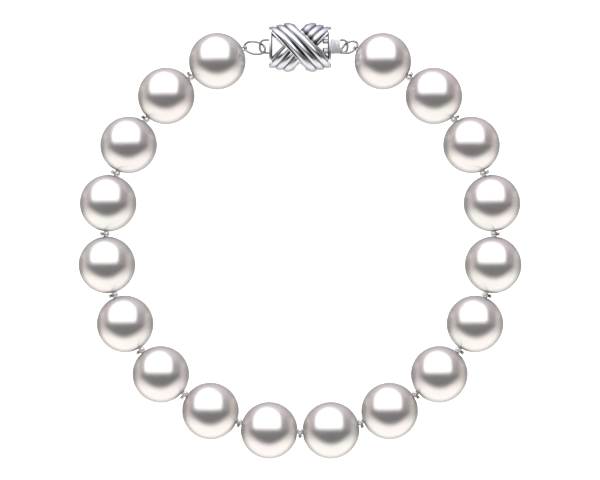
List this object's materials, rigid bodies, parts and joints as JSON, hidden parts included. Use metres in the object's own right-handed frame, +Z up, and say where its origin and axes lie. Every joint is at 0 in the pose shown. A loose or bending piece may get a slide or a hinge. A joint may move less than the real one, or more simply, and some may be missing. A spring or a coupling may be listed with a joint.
{
  "type": "pearl bracelet",
  "caption": "Strand of round pearls knotted on silk, closed into a ring by an openwork white metal box clasp with crossing bands.",
  "frame": {"origin": "middle of the bracelet's outline, on the surface that it lies on", "axes": "+Z up out of the surface, +Y towards the clasp, +X towards the clasp's tongue end"},
  "size_m": [0.0662, 0.0652, 0.0085],
  "materials": {
    "pearl": "lustrous nacre, white with a rose overtone",
    "silk": "twisted off-white silk",
    "white_gold": "polished white gold"
  },
  "bodies": {
    "root": {"pearl_01": "pearl", "pearl_02": "pearl", "pearl_03": "pearl", "pearl_04": "pearl", "pearl_05": "pearl", "pearl_06": "pearl", "pearl_07": "pearl", "pearl_08": "pearl", "pearl_09": "pearl", "pearl_10": "pearl", "pearl_11": "pearl", "pearl_12": "pearl", "pearl_13": "pearl", "pearl_14": "pearl", "pearl_15": "pearl", "pearl_16": "pearl", "pearl_17": "pearl", "pearl_18": "pearl", "silk_strand": "silk", "clasp_case": "white_gold", "clasp_tongue": "white_gold", "link_left": "white_gold", "link_right": "white_gold"}
  },
  "joints": []
}
